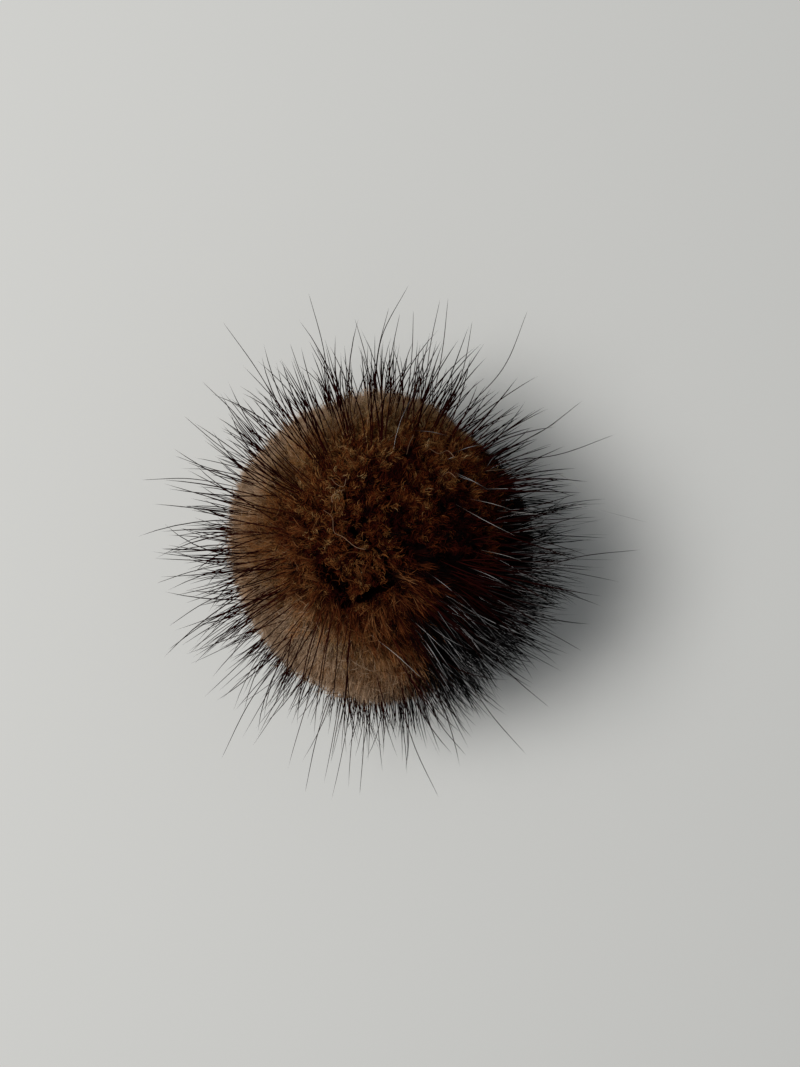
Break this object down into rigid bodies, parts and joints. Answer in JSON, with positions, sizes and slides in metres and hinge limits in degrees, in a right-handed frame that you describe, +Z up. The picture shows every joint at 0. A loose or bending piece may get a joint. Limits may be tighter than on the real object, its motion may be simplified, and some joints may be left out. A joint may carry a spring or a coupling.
{
  "type": "fur pom pom",
  "caption": "Round pom pom of short brown wool and long dark guard hairs, gathered on top in a short parting, resting on a small flat spot.",
  "frame": {"origin": "middle of the flat spot under the ball, on the surface that it rests on", "axes": "+Z up, out of the ball's top where the pelt is gathered; the parting in the fur lies towards -Y; the darkest, longest guard hairs lie towards +X"},
  "size_m": [0.0598, 0.0613, 0.0409],
  "materials": {
    "underfur": "dense, softly crimped brown wool, paler and greyer at its tips",
    "guard_hair": "long, straight, near-black hairs with a soft gloss, a few of them white"
  },
  "bodies": {
    "root": {"fur_ball": "underfur"}
  },
  "joints": []
}
